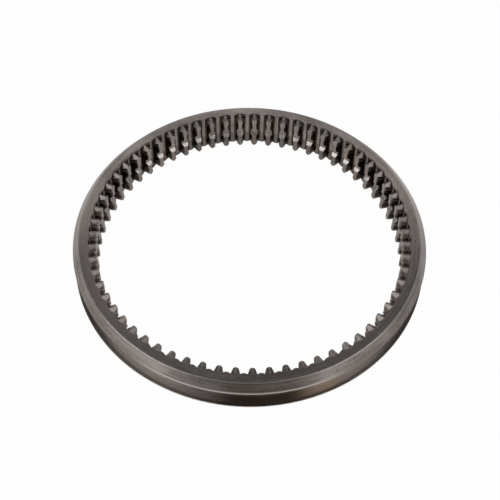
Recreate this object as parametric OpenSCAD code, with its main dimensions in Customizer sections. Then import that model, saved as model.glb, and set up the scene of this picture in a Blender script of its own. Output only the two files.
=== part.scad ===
// Sliding sleeve of a gearbox: a turned steel ring with a shift fork groove outside
// and pointed internal teeth with a detent groove inside.
// The bottom face stands on z = 0, the axis of the ring is z, all sizes are in millimetres.

/* [Ring] */
// Outer diameter over the two flanges
outer_diameter = 178; // [150:0.5:210]
// Width of the ring along its axis
ring_width = 21.6; // [16:0.1:32]
// Outer diameter of the flat faces, where the tapers begin
face_diameter = 171.4; // [150:0.2:205]
// Height of each taper along the axis
taper_height = 4.4; // [2:0.1:7]
// Width of the narrow land at the outer diameter
land_width = 0.6; // [0.4:0.1:3]
// Small bevel on every turned edge
edge_break = 0.3; // [0.1:0.05:0.6]

/* [Fork groove] */
// Depth of the fork groove below the outer diameter
groove_depth = 4.8; // [1:0.1:6]
// Bevel in the two inner corners of the fork groove
groove_corner = 0.3; // [0.2:0.1:1.5]

/* [Internal teeth] */
// Number of teeth
tooth_count = 63; // [30:1:90]
// Module, which sets the pitch diameter with the number of teeth
tooth_module = 2.5; // [1.5:0.05:4]
// Tooth height inside the pitch circle, in modules
addendum_factor = 0.65; // [0.4:0.01:1]
// Tooth height outside the pitch circle, in modules
dedendum_factor = 0.78; // [0.5:0.01:1.1]
// Width of the tooth tip
tip_width = 2.75; // [1.2:0.05:4]
// Slope of the tooth flanks away from the radial direction
flank_angle = 15; // [8:1:30]
// Bevel on the two long edges of the tooth tip
tip_bevel = 0.3; // [0.1:0.05:0.6]
// Width of the raised land on the floor of each gap
root_land_width = 2.3; // [0.8:0.1:4]
// Height of the raised land on the floor of each gap
root_land_height = 0.6; // [0.2:0.05:1]
// Distance of the ends of the raised land from the bevels of the bore
root_land_setback = 0.2; // [0.1:0.05:1]

/* [Tooth ends] */
// Half of the angle between the two facets of a pointed tooth end
point_half_angle = 48; // [30:1:65]
// Slope of the ridge of a pointed end, falling toward the axis
ridge_slope = 6; // [0:1:40]
// Distance of the ridge below the face at the root circle
ridge_setback = 0.7; // [0.4:0.05:2]

/* [Detent groove] */
// Depth of the detent groove turned into the tooth tips
detent_depth = 1.6; // [0.4:0.1:2.4]
// Width of the detent groove at the tooth tips
detent_width = 5.0; // [2:0.1:9]
// Width of the flat floor of the detent groove
detent_floor = 1.8; // [0.2:0.1:3]

/* [Quality] */
// Steps around a full circle in the preview
circle_steps = 180; // [60:12:360]

/* [Hidden] */
$fn = circle_steps;
outer_radius = outer_diameter / 2;
face_radius = face_diameter / 2;
groove_radius = outer_radius - groove_depth;
flange_width = taper_height + land_width;
middle = ring_width / 2;
pitch_radius = tooth_module * tooth_count / 2;
tip_radius = pitch_radius - addendum_factor * tooth_module;
root_radius = pitch_radius + dedendum_factor * tooth_module;
land_radius = root_radius - root_land_height;
// Depth to which teeth and lands are sunk into the wall
sunk = 0.6;
buried_radius = root_radius + sunk;
flank_spread = tan(flank_angle);
taper_length = sqrt(pow(outer_radius - face_radius, 2) + pow(taper_height, 2));
taper_step_out = edge_break * (outer_radius - face_radius) / taper_length;
taper_step_up = edge_break * taper_height / taper_length;
// The bevels of the land leave at least two fifths of its width flat
land_break = min(edge_break, 0.3 * land_width);
// The ridge stays under the bevel of the bore edge where the tooth enters the wall
ridge_drop = max(ridge_setback, sunk * tan(ridge_slope) + 0.1);
reach = 12;

// Half section of the lower flange, from the bore edge to the floor of the fork groove
function lower_outline() = [
    [root_radius + edge_break, 0],
    [face_radius - edge_break, 0],
    [face_radius + taper_step_out, taper_step_up],
    [outer_radius - taper_step_out, taper_height - taper_step_up],
    [outer_radius, taper_height + land_break],
    [outer_radius, flange_width - land_break],
    [outer_radius - land_break, flange_width],
    [groove_radius + groove_corner, flange_width],
    [groove_radius, flange_width + groove_corner],
];

// The same half section turned over for the upper flange
function upper_outline() = [
    for (i = [len(lower_outline()) - 1 : -1 : 0])
        [lower_outline()[i][0], ring_width - lower_outline()[i][1]]
];

module turned_ring() {
    rotate_extrude()
        polygon(concat(
            [[root_radius, edge_break]],
            lower_outline(),
            upper_outline(),
            [[root_radius, ring_width - edge_break]]
        ));
}

// Outline of a tooth across the axis, with a bevelled tip and straight flanks
module tooth_outline() {
    bevelled = tip_width / 2 + tip_bevel * flank_spread;
    base = tip_width / 2 + (buried_radius - tip_radius) * flank_spread;
    polygon([
        [tip_radius, -(tip_width / 2 - tip_bevel)],
        [tip_radius + tip_bevel, -bevelled],
        [buried_radius, -base],
        [buried_radius, base],
        [tip_radius + tip_bevel, bevelled],
        [tip_radius, tip_width / 2 - tip_bevel],
    ]);
}

// Outline of a tooth along the axis, with the detent groove at half width
module tooth_side() {
    polygon([
        [tip_radius - 1, -1],
        [buried_radius + 1, -1],
        [buried_radius + 1, ring_width + 1],
        [tip_radius - 1, ring_width + 1],
        [tip_radius - 1, middle + detent_width / 2 + (detent_width - detent_floor) / 2 / detent_depth],
        [tip_radius + detent_depth, middle + detent_floor / 2],
        [tip_radius + detent_depth, middle - detent_floor / 2],
        [tip_radius - 1, middle - detent_width / 2 - (detent_width - detent_floor) / 2 / detent_depth],
    ]);
}

// Roof with a sloping ridge that gives a tooth its pointed upper end
module upper_point() {
    fall = reach / tan(point_half_angle);
    translate([root_radius, 0, ring_width - ridge_drop])
        rotate([0, -ridge_slope, 0])
            rotate([90, 0, 90])
                linear_extrude(height = 2 * reach, center = true)
                    polygon([
                        [0, 0],
                        [-reach, -fall],
                        [-reach, -fall - 2 * ring_width],
                        [reach, -fall - 2 * ring_width],
                        [reach, -fall],
                    ]);
}

module pointed_tooth() {
    intersection() {
        linear_extrude(height = ring_width)
            tooth_outline();
        rotate([90, 0, 0])
            linear_extrude(height = 2 * reach, center = true)
                tooth_side();
        upper_point();
        translate([0, 0, ring_width])
            mirror([0, 0, 1])
                upper_point();
    }
}

// Raised land on the floor of a gap, with a narrow relief left beside each flank
module root_land() {
    half = root_land_width / 2;
    end = edge_break + root_land_setback;
    translate([0, 0, end])
        linear_extrude(height = ring_width - 2 * end)
            polygon([
                [land_radius, -half],
                [buried_radius, -half - 0.4 * (root_land_height + sunk)],
                [buried_radius, half + 0.4 * (root_land_height + sunk)],
                [land_radius, half],
            ]);
}

module sliding_sleeve() {
    color([0.36, 0.35, 0.34])
        union() {
            turned_ring();
            for (i = [0 : tooth_count - 1])
                rotate([0, 0, i * 360 / tooth_count])
                    pointed_tooth();
            for (i = [0 : tooth_count - 1])
                rotate([0, 0, (i + 0.5) * 360 / tooth_count])
                    root_land();
        }
}

sliding_sleeve();
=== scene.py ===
"""Dresses a packed gearbox sliding sleeve with rounded steel, a worn finish with painted shade and painted
light, and a plain studio.
"""

import math

import bmesh
import bpy
from bpy.props import FloatProperty, FloatVectorProperty, IntProperty, PointerProperty
from mathutils import Matrix, Quaternion, Vector


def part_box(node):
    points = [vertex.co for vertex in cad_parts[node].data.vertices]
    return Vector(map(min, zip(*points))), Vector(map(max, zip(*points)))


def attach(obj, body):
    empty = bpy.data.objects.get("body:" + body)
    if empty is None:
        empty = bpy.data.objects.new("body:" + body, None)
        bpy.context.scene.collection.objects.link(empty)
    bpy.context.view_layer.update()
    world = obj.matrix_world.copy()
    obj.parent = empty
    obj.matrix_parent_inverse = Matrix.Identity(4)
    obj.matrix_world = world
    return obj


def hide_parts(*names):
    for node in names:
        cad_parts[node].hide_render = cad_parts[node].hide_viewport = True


bl_info = {
    "name": "Gearbox Sliding Sleeve",
    "version": (1, 0, 0),
    "blender": (4, 5, 0),
    "location": "View3D > Sidebar > Sleeve",
    "description": "Builds a sliding sleeve with its fork groove, pointed internal teeth and studio",
    "category": "Object",
}

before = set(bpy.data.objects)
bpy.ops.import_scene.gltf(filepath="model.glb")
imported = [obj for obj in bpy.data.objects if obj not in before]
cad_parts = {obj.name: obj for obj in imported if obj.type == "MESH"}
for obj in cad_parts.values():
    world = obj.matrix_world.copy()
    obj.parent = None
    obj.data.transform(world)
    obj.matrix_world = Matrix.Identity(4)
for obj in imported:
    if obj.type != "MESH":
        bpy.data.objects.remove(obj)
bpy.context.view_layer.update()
sleeve_low, sleeve_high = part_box("sliding_sleeve")

MILLIMETRE = 0.001
# Columns of the ring sector in shares of half a root land, the last one just beside the land
LAND_COLUMNS = (0.55, 0.93, 1.06)
# Depth in millimetres to which a tooth is sunk into the wall of the bore
SUNK = 0.6
# Smallest cutting distance in millimetres
CUT_LIMIT = 0.0001
# Distance of the lamps from the ring, half the side of the floor and the floor's drop, in metres
LAMP_DISTANCE = 0.9
FLOOR_HALF_SIDE = 8
FLOOR_DROP = 0.0002


# Sizes and looks

class SleeveSizes(bpy.types.PropertyGroup):
    """Sizes of the turned ring and of its teeth."""

    outer_diameter: FloatProperty(
        name="Outer diameter", description="Diameter over the two flanges",
        default=sleeve_high.x - sleeve_low.x, unit="LENGTH")
    ring_width: FloatProperty(
        name="Ring width", description="Distance between the two flat faces",
        default=sleeve_high.z - sleeve_low.z, unit="LENGTH")
    face_diameter: FloatProperty(
        name="Face diameter", description="Outer diameter of each flat face, where the taper starts",
        default=0.1714, unit="LENGTH")
    taper_height: FloatProperty(
        name="Taper height", description="Height of the tapered band beside each flat face",
        default=0.0044, unit="LENGTH")
    land_width: FloatProperty(
        name="Land width", description="Width of the straight land between taper and fork groove",
        default=0.0006, unit="LENGTH")
    bore_bevel: FloatProperty(
        name="Bore bevel", description="Bevel between each flat face and the bore",
        default=0.00014, unit="LENGTH")
    groove_diameter: FloatProperty(
        name="Groove diameter", description="Diameter of the floor of the fork groove",
        default=0.1684, unit="LENGTH")
    tooth_count: IntProperty(
        name="Tooth count", description="Number of internal teeth", default=63)
    tip_diameter: FloatProperty(
        name="Tip diameter", description="Diameter over the tips of the internal teeth",
        default=0.15425, unit="LENGTH")
    root_diameter: FloatProperty(
        name="Root diameter", description="Diameter of the bore between the internal teeth",
        default=0.1624, unit="LENGTH")
    tip_width: FloatProperty(
        name="Tip width", description="Width of a tooth at its tip", default=0.0027, unit="LENGTH")
    flank_angle: FloatProperty(
        name="Flank angle", description="Angle of a tooth flank to the radial direction",
        default=math.radians(20), unit="ROTATION")
    point_half_angle: FloatProperty(
        name="Point half angle", description="Half of the angle of the pointed tooth end",
        default=math.radians(48), unit="ROTATION")
    ridge_slope: FloatProperty(
        name="Ridge slope", description="Fall of the ridge of a tooth end from root to tip",
        default=math.radians(5), unit="ROTATION")
    nose_width: FloatProperty(
        name="Nose width", description="Width of the blunt nose along the ridge of a tooth end",
        default=0.0004, unit="LENGTH")
    nose_rounding: FloatProperty(
        name="Nose rounding", description="Rounding between the nose and the two facets of a tooth end",
        default=0.00018, unit="LENGTH")
    ridge_setback: FloatProperty(
        name="Ridge setback", description="Distance of the nose below the flat face at the root",
        default=0.0002, unit="LENGTH")
    detent_depth: FloatProperty(
        name="Detent depth", description="Depth of the detent groove across the tooth tips",
        default=0.0016, unit="LENGTH")
    detent_width: FloatProperty(
        name="Detent width", description="Width of the mouth of the detent groove",
        default=0.0050, unit="LENGTH")
    detent_floor: FloatProperty(
        name="Detent floor", description="Width of the floor of the detent groove",
        default=0.0018, unit="LENGTH")
    root_land_width: FloatProperty(
        name="Root land width", description="Width of the raised strip between two teeth",
        default=0.0022, unit="LENGTH")
    root_land_height: FloatProperty(
        name="Root land height", description="Height of the raised strip between two teeth",
        default=0.00085, unit="LENGTH")
    arch_height: FloatProperty(
        name="Arch height", description="Height over which the reliefs beside a tooth close at each face",
        default=0.0014, unit="LENGTH")
    flank_relief: FloatProperty(
        name="Flank relief", description="Share by which a tooth is slimmer beside the detent groove",
        default=0.34, subtype="FACTOR", min=0, max=0.4)
    tooth_rounding: FloatProperty(
        name="Tooth rounding", description="Rounding along the edges of a tooth",
        default=0.00025, unit="LENGTH")


class SleeveLooks(bpy.types.PropertyGroup):
    """Colours and finish of the steel and of the studio."""

    # Also painted as light on the left of the face and on the far tapers
    bright_steel: FloatVectorProperty(
        name="Bright steel", description="Colour of the freshly turned steel",
        default=(0.410, 0.363, 0.341), subtype="COLOR", size=3, min=0, max=1)
    # Also painted as shade on the face in front and at the back right
    dull_steel: FloatVectorProperty(
        name="Dull steel", description="Colour of the stained steel",
        default=(0.205, 0.179, 0.166), subtype="COLOR", size=3, min=0, max=1)
    # Painted shade: this colour darkens the flanks, the reliefs, the whole bore and the upper wall of the
    # groove
    painted_shade_colour: FloatVectorProperty(
        name="Oil stain", description="Colour of the old oil between the teeth",
        default=(0.074, 0.056, 0.047), subtype="COLOR", size=3, min=0, max=1)
    # Painted light: a lighter steel in the fork groove that brightens its reflections
    groove_painted_light: FloatVectorProperty(
        name="Groove steel", description="Colour of the floor and the lower wall of the fork groove",
        default=(0.65, 0.612, 0.59), subtype="COLOR", size=3, min=0, max=1)
    # A tan tint with a painted highlight at the right front of the fork groove
    tan_tint_and_highlight: FloatVectorProperty(
        name="Tan stain", description="Colour of the heat stain on one side of the fork groove",
        default=(0.70, 0.58, 0.44), subtype="COLOR", size=3, min=0, max=1)
    # A brown tint with painted shade in the front of the fork groove and taper
    brown_tint_and_painted_shade: FloatVectorProperty(
        name="Brown film", description="Colour of the dried oil in the front of the fork groove",
        default=(0.17, 0.115, 0.07), subtype="COLOR", size=3, min=0, max=1)
    heat_tint: FloatVectorProperty(
        name="Heat tint", description="Brown cast of parts of the teeth and root lands",
        default=(0.37, 0.285, 0.235), subtype="COLOR", size=3, min=0, max=1)
    anisotropy: FloatProperty(
        name="Anisotropy", description="How far the turning marks spread the gloss across themselves",
        default=0.92, subtype="FACTOR", min=0, max=1)
    # Colour of the worn corners and of the painted highlights on the corners, the detent ramps and the
    # tooth-end facets
    worn_and_highlight_colour: FloatVectorProperty(
        name="Worn edge", description="Colour of the rubbed corners",
        default=(0.84, 0.80, 0.765), subtype="COLOR", size=3, min=0, max=1)
    roughness: FloatProperty(
        name="Roughness", description="Middle roughness of the turned steel",
        default=0.34, subtype="FACTOR", min=0, max=1)
    floor_colour: FloatVectorProperty(
        name="Floor colour", description="Colour of the studio floor",
        default=(0.93, 0.93, 0.93), subtype="COLOR", size=3, min=0, max=1)


class StudioSetup(bpy.types.PropertyGroup):
    """Camera and lamps of the studio."""

    camera_azimuth: FloatProperty(
        name="Camera azimuth", description="Turn of the camera round the axis of the ring",
        default=math.radians(2.51), unit="ROTATION")
    camera_elevation: FloatProperty(
        name="Camera elevation", description="Height of the camera above the horizon",
        default=0.94368, unit="ROTATION")
    camera_roll: FloatProperty(
        name="Camera roll", description="Lean of the camera about its line of sight",
        default=-0.017626, unit="ROTATION")
    camera_distance: FloatProperty(
        name="Camera distance", description="Distance of the camera from its target",
        default=0.569475, unit="LENGTH")
    aim_right: FloatProperty(
        name="Aim right", description="Target's offset to the right from the middle of the top face",
        default=0.000259, unit="LENGTH")
    aim_up: FloatProperty(
        name="Aim up", description="Target's offset along the camera's up direction",
        default=-0.00842, unit="LENGTH")
    camera_lens: FloatProperty(
        name="Camera lens", description="Focal length in millimetres on a 36 mm sensor", default=81.58)
    world_level: FloatProperty(
        name="World level", description="Brightness of the even light from above",
        default=0.06, min=0)
    horizon_level: FloatProperty(
        name="Horizon level", description="Brightness of the pale walls at the sides and behind the ring",
        default=0.36, min=0)
    room_level: FloatProperty(
        name="Room level", description="Brightness of the open room in front of the ring",
        default=0.10, min=0)
    left_power: FloatProperty(
        name="Left lamp power", description="Power of the lamp at the left", default=1.5, unit="POWER")
    right_power: FloatProperty(
        name="Right lamp power", description="Power of the lamp at the right", default=1.18, unit="POWER")
    back_power: FloatProperty(
        name="Back lamp power", description="Power of the lamp behind the ring", default=2.48, unit="POWER")
    front_power: FloatProperty(
        name="Front lamp power", description="Power of the weak strip above the camera side",
        default=0.065, unit="POWER")
    front_side_power: FloatProperty(
        name="Front side lamp power", description="Power of each weak lamp beside the front strip",
        default=0.08, unit="POWER")


# Mesh building in millimetres

def outline_corners(sizes):
    """Corners of the turned profile as radius, height and rounding, once round."""
    width = sizes.ring_width / MILLIMETRE
    root = sizes.root_diameter / 2 / MILLIMETRE
    face = sizes.face_diameter / 2 / MILLIMETRE
    outer = sizes.outer_diameter / 2 / MILLIMETRE
    groove = sizes.groove_diameter / 2 / MILLIMETRE
    bevel = sizes.bore_bevel / MILLIMETRE
    arch = sizes.arch_height / MILLIMETRE
    taper = sizes.taper_height / MILLIMETRE
    flange = taper + sizes.land_width / MILLIMETRE
    lower = [
        (root, bevel + arch, 0),
        (root, bevel + arch * 0.65, 0),
        (root, bevel + arch * 0.3, 0),
        (root, bevel, 0.06),
        (root + bevel, 0, 0.08),
        (face, 0, 0.45),
        (outer, taper, 0.15),
        (outer, flange, 0.15),
        (groove, flange, 0.15),
    ]
    upper = [(radius, width - height, rounding) for radius, height, rounding in reversed(lower)]
    return lower + upper


def ring_sector(sizes):
    """One tooth pitch of the ring, with half a root land at each end."""
    sector = bmesh.new()
    corners = []
    for radius, height, rounding in outline_corners(sizes):
        corners.append((sector.verts.new((radius, 0, height)), rounding))
    sector.faces.new([corner for corner, rounding in corners])
    for corner, rounding in corners:
        if rounding:
            bmesh.ops.bevel(
                sector, geom=[corner], offset=rounding, offset_type="OFFSET", segments=3,
                profile=0.5, affect="VERTICES", material=-1)
    half_pitch = math.pi / sizes.tooth_count
    root = sizes.root_diameter / 2 / MILLIMETRE
    land = sizes.root_land_width / 2 / MILLIMETRE / root
    behind_tooth = half_pitch * 0.67
    half = [land * share for share in LAND_COLUMNS] + [behind_tooth, half_pitch]
    columns = half + [2 * half_pitch - angle for angle in reversed(half[:-1])] + [2 * half_pitch]
    bmesh.ops.rotate(
        sector, verts=sector.verts[:], cent=(0, 0, 0), matrix=Matrix.Rotation(-half_pitch, 3, "Z"))
    moving = sector.verts[:] + sector.edges[:] + sector.faces[:]
    turned = 0
    for angle in columns:
        made = bmesh.ops.spin(
            sector, geom=moving, cent=(0, 0, 0), axis=(0, 0, 1), angle=angle - turned, steps=1,
            use_merge=False, use_duplicate=False)
        moving = made["geom_last"]
        turned = angle
    raise_root_land(sector, sizes, half_pitch, land)
    bmesh.ops.recalc_face_normals(sector, faces=sector.faces[:])
    return sector


def raise_root_land(sector, sizes, half_pitch, land):
    """Moves the wall of the bore inwards at the strip between two teeth, wider near each face."""
    width = sizes.ring_width / MILLIMETRE
    bore_edge = (sizes.root_diameter / 2 + sizes.bore_bevel) / MILLIMETRE + 0.1
    rise = sizes.root_land_height / MILLIMETRE
    arch = sizes.arch_height / MILLIMETRE
    edge_fall = 0.25
    arch_share = 0.55
    for corner in sector.verts:
        radius = math.hypot(corner.co.x, corner.co.y)
        from_border = half_pitch - abs(math.atan2(corner.co.y, corner.co.x))
        if radius > bore_edge or from_border > land * LAND_COLUMNS[-1] * 1.01:
            continue
        below = min(corner.co.z, width - corner.co.z)
        if from_border < land:
            crown = 1 - edge_fall * (from_border / land) ** 2
        else:
            crown = arch_share * max(0, 1 - below / arch) ** 0.5
        scale = 1 - rise * crown / radius
        corner.co.x *= scale
        corner.co.y *= scale


def slice_off(solid, point, normal):
    """Cuts away what lies beyond a plane and closes the cut."""
    everything = solid.verts[:] + solid.edges[:] + solid.faces[:]
    bmesh.ops.bisect_plane(
        solid, geom=everything, dist=CUT_LIMIT, plane_co=point, plane_no=normal, clear_outer=True)
    open_edges = [edge for edge in solid.edges if edge.is_boundary]
    bmesh.ops.holes_fill(solid, edges=open_edges, sides=0)


def slim_between(tooth, sizes, middle):
    """Takes the flanks back in a soft hollow on each side of the detent groove."""
    start = sizes.detent_width / 2 / MILLIMETRE
    span = middle * 0.73 - start
    cuts = 8
    skew = 0.75
    fullness = 1.2
    for cut in range(1, cuts):
        for end in (1, -1):
            level = middle + end * (start + span * cut / cuts)
            everything = tooth.verts[:] + tooth.edges[:] + tooth.faces[:]
            bmesh.ops.bisect_plane(
                tooth, geom=everything, dist=CUT_LIMIT, plane_co=(0, 0, level), plane_no=(0, 0, 1))
    for corner in tooth.verts:
        way = (abs(corner.co.z - middle) - start) / span
        if 0 < way < 1:
            hollow = math.sin(math.pi * way ** skew) ** fullness
            corner.co.y *= 1 - sizes.flank_relief * hollow


def pointed_tooth(sizes):
    """One tooth on +X: side profile with its detent groove, tapered flanks and a roof at each end."""
    width = sizes.ring_width / MILLIMETRE
    middle = width / 2
    tip = sizes.tip_diameter / 2 / MILLIMETRE
    root = sizes.root_diameter / 2 / MILLIMETRE
    buried = root + SUNK
    half_blank = 4
    depth = sizes.detent_depth / MILLIMETRE
    mouth = sizes.detent_width / 2 / MILLIMETRE
    floor = sizes.detent_floor / 2 / MILLIMETRE
    profile = [
        (tip, 0), (buried, 0), (buried, width), (tip, width),
        (tip, middle + mouth), (tip + depth, middle + floor),
        (tip + depth, middle - floor), (tip, middle - mouth),
    ]
    tooth = bmesh.new()
    side = tooth.faces.new([tooth.verts.new((radius, -half_blank, height)) for radius, height in profile])
    made = bmesh.ops.extrude_face_region(tooth, geom=[side])
    far_side = [part for part in made["geom"] if isinstance(part, bmesh.types.BMVert)]
    bmesh.ops.translate(tooth, verts=far_side, vec=(0, 2 * half_blank, 0))
    bmesh.ops.recalc_face_normals(tooth, faces=tooth.faces[:])
    lean = sizes.flank_angle
    half_angle = sizes.point_half_angle
    slope = sizes.ridge_slope
    drop = sizes.ridge_setback / MILLIMETRE
    nose = sizes.nose_width / 2 / MILLIMETRE
    for end in (1, -1):
        upright = Vector((-math.sin(slope), 0, end * math.cos(slope)))
        ridge = Vector((root, 0, middle + end * (middle - drop)))
        slice_off(tooth, ridge, upright)
        for hand in (1, -1):
            roof = Vector((0, hand * math.cos(half_angle), 0)) + upright * math.sin(half_angle)
            slice_off(tooth, ridge + Vector((0, hand * nose, 0)), roof)
    bmesh.ops.recalc_face_normals(tooth, faces=tooth.faces[:])
    nose_edges = []
    for edge in tooth.edges:
        along = (edge.verts[1].co - edge.verts[0].co).normalized()
        high = all(abs(corner.co.z - middle) > middle * 0.6 for corner in edge.verts)
        if high and abs(along.y) < 0.05 and abs(along.x) > 0.5 and edge.calc_face_angle(0) > 0.3:
            nose_edges.append(edge)
    bmesh.ops.bevel(
        tooth, geom=nose_edges, offset=sizes.nose_rounding / MILLIMETRE, offset_type="OFFSET", segments=3,
        profile=0.5, affect="EDGES", material=-1, clamp_overlap=True)
    for hand in (1, -1):
        flank = Vector((-math.sin(lean), hand * math.cos(lean), 0))
        slice_off(tooth, (tip, hand * sizes.tip_width / 2 / MILLIMETRE, 0), flank)
    slim_between(tooth, sizes, middle)
    bmesh.ops.recalc_face_normals(tooth, faces=tooth.faces[:])
    shown = []
    for edge in tooth.edges:
        buried_edge = all(corner.co.x > root + SUNK / 2 for corner in edge.verts)
        if not buried_edge and edge.calc_face_angle(0) > 0.4:
            shown.append(edge)
    bmesh.ops.bevel(
        tooth, geom=shown, offset=sizes.tooth_rounding / MILLIMETRE, offset_type="OFFSET", segments=2,
        profile=0.5, affect="EDGES", material=-1, clamp_overlap=True)
    bmesh.ops.remove_doubles(tooth, verts=tooth.verts[:], dist=0.004)
    bmesh.ops.dissolve_degenerate(tooth, dist=0.002, edges=tooth.edges[:])
    bmesh.ops.recalc_face_normals(tooth, faces=tooth.faces[:])
    if any(not edge.is_manifold for edge in tooth.edges):
        raise RuntimeError("the tooth is not closed")
    return tooth


def mesh_object(name, solid):
    """A linked object that holds a copy of a bmesh."""
    mesh = bpy.data.meshes.new(name)
    solid.to_mesh(mesh)
    solid.free()
    made = bpy.data.objects.new(name, mesh)
    bpy.context.scene.collection.objects.link(made)
    return made


def united(first, second):
    """One closed shell from two solids that overlap."""
    host = mesh_object("sector_host", first)
    guest = mesh_object("sector_guest", second)
    union = host.modifiers.new("union", "BOOLEAN")
    union.operation = "UNION"
    union.solver = "EXACT"
    union.object = guest
    depsgraph = bpy.context.evaluated_depsgraph_get()
    mesh = bpy.data.meshes.new_from_object(host.evaluated_get(depsgraph))
    whole = bmesh.new()
    whole.from_mesh(mesh)
    bpy.data.meshes.remove(mesh)
    for spare in (host, guest):
        spare_mesh = spare.data
        bpy.data.objects.remove(spare)
        bpy.data.meshes.remove(spare_mesh)
    return whole


def settle_normals(piece):
    """Shades large faces flat and lets only the roundings turn the light, then keeps the result."""
    weighted = piece.modifiers.new("weighted_normals", "WEIGHTED_NORMAL")
    weighted.keep_sharp = True
    depsgraph = bpy.context.evaluated_depsgraph_get()
    settled = bpy.data.meshes.new_from_object(piece.evaluated_get(depsgraph))
    rough_mesh = piece.data
    piece.modifiers.remove(weighted)
    piece.data = settled
    settled.name = piece.name
    bpy.data.meshes.remove(rough_mesh)


def repeat_round(sector, count):
    """Opens the two ends of a sector and repeats it round the axis to a closed ring."""
    half_pitch = math.pi / count
    ends = []
    for face in sector.faces:
        angles = [abs(math.atan2(corner.co.y, corner.co.x)) for corner in face.verts]
        if min(angles) > half_pitch - 0.00001:
            ends.append(face)
    if len(ends) < 2:
        raise RuntimeError("the ends of the ring sector were not found")
    bmesh.ops.delete(sector, geom=ends, context="FACES_ONLY")
    everything = sector.verts[:] + sector.edges[:] + sector.faces[:]
    bmesh.ops.spin(
        sector, geom=everything, cent=(0, 0, 0), axis=(0, 0, 1),
        angle=2 * math.pi * (count - 1) / count, steps=count - 1, use_duplicate=True)
    bmesh.ops.remove_doubles(sector, verts=sector.verts[:], dist=0.002)
    bmesh.ops.recalc_face_normals(sector, faces=sector.faces[:])


# Shader graphs

class Wire:
    """A shader value that takes part in plain sums."""

    def __init__(self, graph, socket):
        self.graph = graph
        self.socket = socket

    def joined(self, operation, first, second):
        return self.graph.node("ShaderNodeMath", {"operation": operation}, {0: first, 1: second})

    def __add__(self, other):
        return self.joined("ADD", self, other)

    def __radd__(self, other):
        return self.joined("ADD", other, self)

    def __sub__(self, other):
        return self.joined("SUBTRACT", self, other)

    def __rsub__(self, other):
        return self.joined("SUBTRACT", other, self)

    def __mul__(self, other):
        return self.joined("MULTIPLY", self, other)

    def __rmul__(self, other):
        return self.joined("MULTIPLY", other, self)

    def __truediv__(self, other):
        return self.joined("DIVIDE", self, other)

    def __rtruediv__(self, other):
        return self.joined("DIVIDE", other, self)

    def __pow__(self, other):
        return self.joined("POWER", self, other)

    def __abs__(self):
        return self.joined("ABSOLUTE", self, 0)


class FinishGraph:
    """Adds nodes to a material or a world, settings first and then the sockets."""

    def __init__(self, owner):
        owner.use_nodes = True
        self.tree = owner.node_tree
        self.tree.nodes.clear()

    def node(self, kind, settings=None, sockets=None, output=None):
        """One node, with its named output or else all outputs that are in use."""
        made = self.tree.nodes.new(kind)
        for name, value in (settings or {}).items():
            setattr(made, name, value)
        for key, value in (sockets or {}).items():
            if isinstance(key, int):
                socket = made.inputs[key]
            else:
                socket = next(one for one in made.inputs if one.name == key and one.enabled)
            if isinstance(value, Wire):
                self.tree.links.new(value.socket, socket)
            else:
                socket.default_value = value
        if output:
            return Wire(self, made.outputs[output])
        shown = [Wire(self, one) for one in made.outputs if one.enabled]
        return shown[0] if len(shown) == 1 else shown

    def blend(self, share, first, second):
        """Mixes two colours by a share from 0 to 1."""
        return self.node(
            "ShaderNodeMix", {"data_type": "RGBA"}, {"Factor": share, "A": first, "B": second})

    def step(self, value, low, high):
        """Rises smoothly from 0 at low to 1 at high."""
        return self.node(
            "ShaderNodeMapRange", {"interpolation_type": "SMOOTHSTEP"},
            {"Value": value, "From Min": low, "From Max": high, "To Min": 0.0, "To Max": 1.0})

    def band(self, value, low, full, fade, high):
        """Rises smoothly from 0 at low to 1 at full, and falls from fade to 0 at high."""
        return self.step(value, low, full) * (1 - self.step(value, fade, high))

    def vector(self, first, second, third):
        """A vector from three values."""
        return self.node("ShaderNodeCombineXYZ", {}, {0: first, 1: second, 2: third})

    def noise(self, place, scale, detail, roughness=0.5):
        """The grey value of a cloudy pattern."""
        sockets = {"Vector": place, "Scale": scale, "Detail": detail, "Roughness": roughness}
        return self.node("ShaderNodeTexNoise", {}, sockets, output="Fac")


def opaque(colour):
    """A colour with its alpha."""
    return (colour[0], colour[1], colour[2], 1.0)


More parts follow.
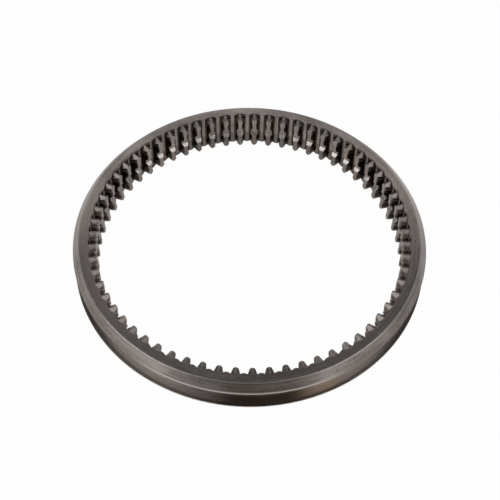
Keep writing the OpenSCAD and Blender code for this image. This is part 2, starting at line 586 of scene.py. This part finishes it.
class SteelPlaces:
    """Where a point lies on the ring: lengths in millimetres and masks from 0 to 1, as shader values."""

    def __init__(self, graph, sizes):
        self.place = graph.node("ShaderNodeTexCoord", output="Object")
        x, y, z = graph.node("ShaderNodeSeparateXYZ", {}, {0: self.place})
        self.x = x / MILLIMETRE
        self.y = y / MILLIMETRE
        self.height = z / MILLIMETRE
        self.radius = (self.x * self.x + self.y * self.y) ** 0.5
        self.middle = sizes.ring_width / 2 / MILLIMETRE
        self.from_middle = abs(self.height - self.middle)
        facing = graph.node("ShaderNodeTexCoord", output="Normal")
        self.levelness = abs(graph.node("ShaderNodeSeparateXYZ", {}, {0: facing})[2])
        self.mark_sides(graph)
        self.mark_bore(graph, sizes)
        self.mark_outside(graph, sizes)

    def mark_sides(self, graph):
        """Front, back, left and right of the ring, and its lower half."""
        self.at_front = 1 - graph.step(self.y, -60.0, -40.0)
        self.at_back = graph.step(self.y, 58.0, 76.0)
        self.sideways = graph.step(abs(self.x), 34.0, 54.0)
        self.low_half = 1 - graph.step(self.height, self.middle - 4.0, self.middle - 1.5)

    def mark_bore(self, graph, sizes):
        """Root lands, the flanks and reliefs that take painted shade, detent ramps and the facets of the
        tooth ends.
        """
        root = sizes.root_diameter / 2 / MILLIMETRE
        at_face = graph.step(self.from_middle, self.middle - 0.1, self.middle - 0.03)
        self.in_bore = (1 - graph.step(self.radius, root + 0.2, root + 0.4)) * (1 - at_face)
        pitch = 2 * math.pi / sizes.tooth_count
        angle = graph.node("ShaderNodeMath", {"operation": "ARCTAN2"}, {0: self.y, 1: self.x})
        phase = graph.node("ShaderNodeMath", {"operation": "WRAP"}, {0: angle / pitch, 1: 0.5, 2: -0.5})
        across = abs(phase) * self.radius * pitch
        half_tip = sizes.tip_width / 2 / MILLIMETRE
        land_edge = pitch / 2 * root - sizes.root_land_width / 2 / MILLIMETRE
        self.land = graph.step(across, land_edge - 0.1, land_edge + 0.25)
        self.waist = graph.band(self.from_middle, 2.4, 3.4, 7.0, 8.4)
        flank = graph.step(across + self.waist * 0.4, half_tip + 0.05, half_tip + 0.45)
        upright = 1 - graph.step(self.levelness, 0.25, 0.5)
        # Flanks and reliefs beside the root lands, which take painted shade
        self.painted_shade = flank * (1 - self.land) * self.in_bore * upright
        sloping = self.in_bore * graph.step(self.levelness, 0.35, 0.55)
        sloping = sloping * (1 - graph.step(self.radius, root - 0.4, root - 0.1))
        self.ramp = sloping * (1 - graph.step(self.from_middle, 2.6, 3.4))
        self.facet = sloping * graph.step(self.from_middle, 5.0, 6.0)

    def mark_outside(self, graph, sizes):
        """Fork groove with its upper wall, tapers and flat faces."""
        groove = sizes.groove_diameter / 2 / MILLIMETRE
        groove_half = self.middle - (sizes.taper_height + sizes.land_width) / MILLIMETRE
        near_floor = graph.band(self.radius, groove - 0.4, groove - 0.2, groove + 2.6, groove + 3.8)
        past_wall = graph.step(self.from_middle, groove_half + 0.02, groove_half + 0.1)
        self.in_groove = near_floor * (1 - past_wall)
        up = self.height - self.middle
        self.upper_wall_painted_shade = self.in_groove * graph.step(up, groove_half - 0.5, groove_half - 0.1)
        outside = 1 - self.in_bore
        self.slanted = graph.band(self.levelness, 0.42, 0.52, 0.68, 0.78) * outside
        self.flat = graph.step(self.levelness, 0.9, 0.97) * outside * (1 - self.in_groove)


def steel_marks(graph, at):
    """Marks of the lathe round the axis, and in the bore marks of the broach along it."""
    lathe = at.radius + at.height * 1.37
    east = at.x / at.radius
    north = at.y / at.radius
    rings = graph.noise(graph.vector(lathe * 1.5, east * 2.0, north * 2.0), 1.0, 4.0, 0.6)
    fine_rings = graph.noise(graph.vector(lathe * 5.0, east * 9.0, north * 9.0), 1.0, 3.0, 0.6)
    broach = graph.noise(graph.vector(at.x * 2.4, at.y * 2.4, at.height * 0.12), 1.0, 3.0, 0.6)
    turned = rings * 0.6 + fine_rings * 0.4
    return turned + (broach - turned) * at.in_bore


def stained_and_shaded_colour(graph, at, looks, marks, drift, speckle):
    """Colour of the steel under its stains and tints, with painted shade and painted light, before any worn
    corners or painted highlights.
    """
    bright = opaque(looks.bright_steel)
    dull = opaque(looks.dull_steel)
    painted_shade = opaque(looks.painted_shade_colour)
    dullness = graph.step(drift * 0.25 + marks * 0.55 + speckle * 0.2, 0.40, 0.60)
    colour = graph.blend(dullness, bright, dull)
    # Painted light: the fork groove takes a lighter steel that brightens its reflections
    colour = graph.blend(at.in_groove * (drift * 0.4 + 0.5), colour, opaque(looks.groove_painted_light))

    # Painted shade darkens the face in front, beside the middle, and at the back right; painted light
    # brightens the left of the face and the far tapers
    front_face_painted_shade = graph.step(abs(at.x), 12.0, 34.0) * (1 - graph.step(at.y, -64.0, -48.0))
    back_face_painted_shade = graph.step(at.x, 18.0, 46.0) * graph.step(at.y, 16.0, 44.0)
    colour = graph.blend(at.flat * (front_face_painted_shade * 0.42 + back_face_painted_shade * 0.28), colour, dull)
    left_face_painted_light = at.flat * (1 - graph.step(at.x, -72.0, -44.0)) * (1 - graph.step(at.y, 0.0, 40.0))
    far_taper_painted_highlight = at.slanted * graph.step(abs(at.x), 50.0, 80.0) * graph.step(at.y, -30.0, 15.0)
    colour = graph.blend(left_face_painted_light * 0.5 + far_taper_painted_highlight * 0.6, colour, bright)

    # Painted shade with a brown tint lies in the front of the groove and of the taper, and a tan tint with
    # a painted highlight at its right
    along_front = at.x + drift * 10 - 5
    tan_highlight_share = at.at_front * graph.band(along_front, 20.0, 34.0, 40.0, 56.0)
    front_painted_shade = at.at_front * graph.band(along_front, -18.0, 2.0, 22.0, 38.0)
    colour = graph.blend(tan_highlight_share * at.in_groove * 0.6, colour, opaque(looks.tan_tint_and_highlight))
    front_shade_share = front_painted_shade * (at.in_groove * 0.7 + at.slanted * 0.35)
    colour = graph.blend(front_shade_share, colour, opaque(looks.brown_tint_and_painted_shade))
    # Painted shade darkens the upper wall of the groove, under the flange
    colour = graph.blend(at.upper_wall_painted_shade, colour, painted_shade)

    # In the bore a brown cast drifts over the upright walls, under painted shade that darkens the whole
    # bore, more on the lower half and on the root lands at the sides
    cast = graph.step(graph.noise(at.place, 62.0, 2.0), 0.46, 0.6)
    cast = cast * at.in_bore * (1 - graph.step(at.levelness, 0.2, 0.4))
    colour = graph.blend(cast * 0.42, colour, opaque(looks.heat_tint))
    aside = graph.step(abs(at.x), 34.0, 66.0)
    teeth_painted_shade = at.low_half * (0.33 - aside * 0.28)
    lands_painted_shade = at.low_half * 0.36 + aside * 0.52
    bore_painted_shade = 0.3 + teeth_painted_shade * (1 - at.land) + lands_painted_shade * at.land
    colour = graph.blend(at.in_bore * bore_painted_shade, colour, painted_shade)

    # Painted shade darkens the flanks and the reliefs beside the root lands, most at the waist
    return graph.blend(at.painted_shade * (0.72 + at.waist * 0.24 + speckle * 0.06), colour, painted_shade)


def corner_wear_and_highlight(graph, at, sizes):
    """Rubbing and painted highlights of the face's corner, of the flange's two corners and of the lower
    edge of the groove.
    """
    outer = sizes.outer_diameter / 2 / MILLIMETRE
    face = sizes.face_diameter / 2 / MILLIMETRE
    flange_top = at.middle - sizes.taper_height / MILLIMETRE
    land_foot = flange_top - sizes.land_width / MILLIMETRE
    backwards = graph.step(at.y, -45.0, 0.0)
    left_edge = 1 - graph.step(at.x, -24.0, -8.0)
    right_edge = graph.step(at.x, 42.0, 56.0)
    lower_edge = at.low_half * (left_edge + right_edge)
    # Radius and height of each corner, how far the rubbing and painted highlight reach and their share
    corners = (
        (face, at.middle, 0.5, 1.15 - backwards * 0.9),
        (outer, flange_top, 0.8, 0.75 - at.sideways * 0.7),
        (outer, land_foot, 0.5, 0.75 - at.sideways * 0.7),
        (outer, land_foot, 1.8, lower_edge * 0.36),
    )
    wear_and_highlight = 0
    for radius, height, reach, share in corners:
        out = at.radius - radius
        up = at.from_middle - height
        away = (out * out + up * up) ** 0.5
        wear_and_highlight = (1 - graph.step(away, 0.1, reach)) * share + wear_and_highlight
    return wear_and_highlight


def machined_steel(sizes, looks):
    """Dark turned steel with lathe rings, broached teeth, painted shade in the gaps, the bore and the front
    of the groove, painted light in the groove and on the ramps and facets, and worn corners with painted
    highlights.
    """
    material = bpy.data.materials.new("machined_steel")
    graph = FinishGraph(material)
    at = SteelPlaces(graph, sizes)
    marks = steel_marks(graph, at)
    drift = graph.noise(at.place, 38.0, 3.0, 0.55)
    speckle = graph.noise(at.place, 900.0, 2.0, 0.6)
    colour = stained_and_shaded_colour(graph, at, looks, marks, drift, speckle)

    # Painted highlights brighten the detent ramps, and the facets of the tooth ends most at the back
    highlighted = at.ramp * 0.72 + at.facet * (at.at_back * 0.36 + 0.1 - at.at_front * 0.1)
    colour = graph.blend(highlighted, colour, opaque(looks.worn_and_highlight_colour))

    # The rim of the upper flange is darker at the sides, and the corners are worn in patches and carry
    # painted highlights
    outer = sizes.outer_diameter / 2 / MILLIMETRE
    rim = graph.step(at.radius, outer - 0.5, outer - 0.15) * at.sideways * (1 - at.low_half)
    colour = graph.blend(rim * 0.8, colour, opaque(looks.dull_steel))
    wear_and_highlight = corner_wear_and_highlight(graph, at, sizes) * graph.step(drift * 0.5 + speckle * 0.5, 0.22, 0.52)
    colour = graph.blend(wear_and_highlight * 0.85, colour, opaque(looks.worn_and_highlight_colour))

    roughness = looks.roughness - 0.09 + marks * 0.12 + drift * 0.06 + at.painted_shade * 0.12 + wear_and_highlight * 0.08
    roughness = roughness - at.ramp * 0.1 - at.facet * 0.09 - at.flat * 0.045
    relief_height = (marks * 0.7 + speckle * 0.3 - 0.5) * (1 - at.ramp * 0.85 - at.facet * 0.8)
    bump = graph.node(
        "ShaderNodeBump", {}, {"Strength": 0.3, "Distance": 0.00006, "Height": relief_height})
    shader = graph.node(
        "ShaderNodeBsdfPrincipled", {},
        {"Base Color": colour, "Metallic": 1.0, "Roughness": roughness, "Normal": bump,
         "Anisotropic": looks.anisotropy, "Anisotropic Rotation": 0.25})
    graph.node("ShaderNodeOutputMaterial", {}, {"Surface": shader})
    return material


def pale_floor(looks):
    """White studio floor that shows plain white and still takes a soft shadow."""
    material = bpy.data.materials.new("pale_floor")
    graph = FinishGraph(material)
    camera = graph.node("ShaderNodeLightPath", output="Is Camera Ray")
    glossy = graph.node("ShaderNodeLightPath", output="Is Glossy Ray")
    through = graph.node("ShaderNodeLightPath", output="Is Transmission Ray")
    place = graph.node("ShaderNodeTexCoord", output="Object")
    grain = graph.noise(place, 120.0, 2.0)
    base = opaque(looks.floor_colour)
    shade = opaque([level * 0.985 for level in looks.floor_colour])
    matt = graph.node(
        "ShaderNodeBsdfPrincipled", {},
        {"Base Color": graph.blend(grain, base, shade), "Roughness": 0.9, "Specular IOR Level": 0.1})
    glow = graph.node("ShaderNodeEmission", {}, {"Color": (1.0, 1.0, 1.0, 1.0), "Strength": 1.0})
    seen = graph.node("ShaderNodeMath", {"operation": "MAXIMUM"}, {0: camera, 1: glossy})
    seen = graph.node("ShaderNodeMath", {"operation": "MAXIMUM"}, {0: seen, 1: through})
    glow_share = 0.98
    mixed = graph.node("ShaderNodeMixShader", {}, {0: seen * glow_share, 1: matt, 2: glow})
    graph.node("ShaderNodeOutputMaterial", {}, {"Surface": mixed})
    return material


# Operators

class SLEEVE_OT_build_sleeve(bpy.types.Operator):
    """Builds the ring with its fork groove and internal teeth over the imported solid"""

    bl_idname = "sleeve.build_sleeve"
    bl_label = "Build Sleeve"

    def execute(self, context):
        sizes = context.scene.sleeve_sizes
        ring = united(ring_sector(sizes), pointed_tooth(sizes))
        repeat_round(ring, sizes.tooth_count)
        bmesh.ops.scale(ring, vec=(MILLIMETRE, MILLIMETRE, MILLIMETRE), verts=ring.verts[:])
        loose = [edge for edge in ring.edges if not edge.is_manifold]
        if loose:
            raise RuntimeError("the sleeve is not closed: %d open edges" % len(loose))
        sleeve = mesh_object("sliding_sleeve_finished", ring)
        for face in sleeve.data.polygons:
            face.use_smooth = True
        sleeve.data.set_sharp_from_angle(angle=math.radians(38))
        settle_normals(sleeve)
        sleeve.data.materials.append(machined_steel(sizes, context.scene.sleeve_looks))
        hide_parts("sliding_sleeve")
        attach(sleeve, "root")
        return {"FINISHED"}


def soft_lamp(name, power, size, azimuth, elevation, roll):
    """A soft box that looks at the middle of the ring, leaning by its roll."""
    lamp = bpy.data.lights.new(name, "AREA")
    lamp.shape = "RECTANGLE"
    lamp.size = size[0]
    lamp.size_y = size[1]
    lamp.energy = power
    made = bpy.data.objects.new(name, lamp)
    turn = math.radians(azimuth)
    rise = math.radians(elevation)
    back = Vector((math.sin(turn) * math.cos(rise), -math.cos(turn) * math.cos(rise), math.sin(rise)))
    ring_middle = Vector((0, 0, 0.01))
    made.location = ring_middle + back * LAMP_DISTANCE
    facing = back.to_track_quat("Z", "Y") @ Quaternion((0, 0, 1), math.radians(roll))
    made.rotation_euler = facing.to_euler()
    bpy.context.scene.collection.objects.link(made)


class SLEEVE_OT_build_stage(bpy.types.Operator):
    """Sets the pale floor, the soft lamps, the even world light and the camera"""

    bl_idname = "sleeve.build_stage"
    bl_label = "Build Stage"

    def execute(self, context):
        scene = context.scene
        setup = scene.sleeve_studio
        ground = bmesh.new()
        bmesh.ops.create_grid(ground, x_segments=1, y_segments=1, size=FLOOR_HALF_SIDE)
        bmesh.ops.translate(ground, verts=ground.verts[:], vec=(0, 0, -FLOOR_DROP))
        floor = mesh_object("studio_floor", ground)
        floor.data.materials.append(pale_floor(scene.sleeve_looks))
        self.place_lamps(setup)
        self.light_world(scene, setup)
        scene.view_settings.view_transform = "Standard"
        self.place_camera(scene, setup)
        return {"FINISHED"}

    def place_lamps(self, setup):
        """Large soft boxes at the left, the right and behind, and weak ones in front."""
        # Name, power, width and height in metres, azimuth, elevation and roll in degrees
        lamps = (
            ("left_lamp", setup.left_power, (0.72, 0.56), -57, 34, -16),
            ("right_lamp", setup.right_power, (0.72, 0.52), 58, 32, 16),
            ("back_lamp", setup.back_power, (1.5, 0.55), 181, 35, 0),
            ("front_lamp", setup.front_power, (0.7, 0.16), 0, 44, 0),
            ("front_left_lamp", setup.front_side_power, (0.3, 0.14), -22, 43, 0),
            ("front_right_lamp", setup.front_side_power, (0.3, 0.14), 22, 43, 0),
        )
        for lamp in lamps:
            soft_lamp(*lamp)

    def light_world(self, scene, setup):
        """Pale walls at the sides and behind, a dark room in front and a dark ceiling."""
        world = bpy.data.worlds.new("studio_world")
        graph = FinishGraph(world)
        way = graph.node("ShaderNodeTexCoord", output="Generated")
        behind, rise = graph.node("ShaderNodeSeparateXYZ", {}, {0: way})[1:]
        walls = opaque([setup.horizon_level] * 3)
        room = opaque([setup.room_level] * 3)
        above = opaque([setup.world_level] * 3)
        in_front = graph.blend(graph.step(rise, 0.6, 0.82), room, above)
        around = graph.blend(graph.step(rise, 0.05, 0.72), walls, above)
        tone = graph.blend(graph.step(behind, -0.7, 0.2), in_front, around)
        light = graph.node("ShaderNodeBackground", {}, {"Color": tone, "Strength": 1.0})
        graph.node("ShaderNodeOutputWorld", {}, {"Surface": light})
        scene.world = world

    def place_camera(self, scene, setup):
        """Looks down on the ring from the front, leaning by the small roll."""
        turn = setup.camera_azimuth
        rise = setup.camera_elevation
        right = Vector((math.cos(turn), math.sin(turn), 0))
        back = Vector((math.sin(turn) * math.cos(rise), -math.cos(turn) * math.cos(rise), math.sin(rise)))
        up = back.cross(right)
        top = Vector((0, 0, scene.sleeve_sizes.ring_width))
        target = top + right * setup.aim_right + up * setup.aim_up
        lean = setup.camera_roll
        leaned_right = right * math.cos(lean) - up * math.sin(lean)
        leaned_up = right * math.sin(lean) + up * math.cos(lean)
        lens = bpy.data.cameras.new("studio_camera")
        lens.lens = setup.camera_lens
        lens.sensor_width = 36
        lens.clip_start = 0.01
        camera = bpy.data.objects.new("studio_camera", lens)
        axes = Matrix((leaned_right, leaned_up, back)).transposed().to_4x4()
        camera.matrix_world = Matrix.Translation(target + back * setup.camera_distance) @ axes
        scene.collection.objects.link(camera)
        scene.camera = camera


class SLEEVE_PT_panel(bpy.types.Panel):
    """Lists the sleeve's operators and its settings"""

    bl_idname = "SLEEVE_PT_panel"
    bl_label = "Sliding Sleeve"
    bl_space_type = "VIEW_3D"
    bl_region_type = "UI"
    bl_category = "Sleeve"

    def draw(self, context):
        layout = self.layout
        layout.operator("sleeve.build_sleeve")
        layout.operator("sleeve.build_stage")
        for group in (context.scene.sleeve_sizes, context.scene.sleeve_looks, context.scene.sleeve_studio):
            box = layout.box()
            for name in group.__annotations__:
                box.prop(group, name)


classes = (
    SleeveSizes,
    SleeveLooks,
    StudioSetup,
    SLEEVE_OT_build_sleeve,
    SLEEVE_OT_build_stage,
    SLEEVE_PT_panel,
)


def register():
    for one in classes:
        bpy.utils.register_class(one)
    bpy.types.Scene.sleeve_sizes = PointerProperty(type=SleeveSizes)
    bpy.types.Scene.sleeve_looks = PointerProperty(type=SleeveLooks)
    bpy.types.Scene.sleeve_studio = PointerProperty(type=StudioSetup)


def unregister():
    del bpy.types.Scene.sleeve_studio
    del bpy.types.Scene.sleeve_looks
    del bpy.types.Scene.sleeve_sizes
    for one in reversed(classes):
        bpy.utils.unregister_class(one)


def main():
    register()
    bpy.ops.sleeve.build_sleeve()
    bpy.ops.sleeve.build_stage()


if __name__ == "__main__":
    main()
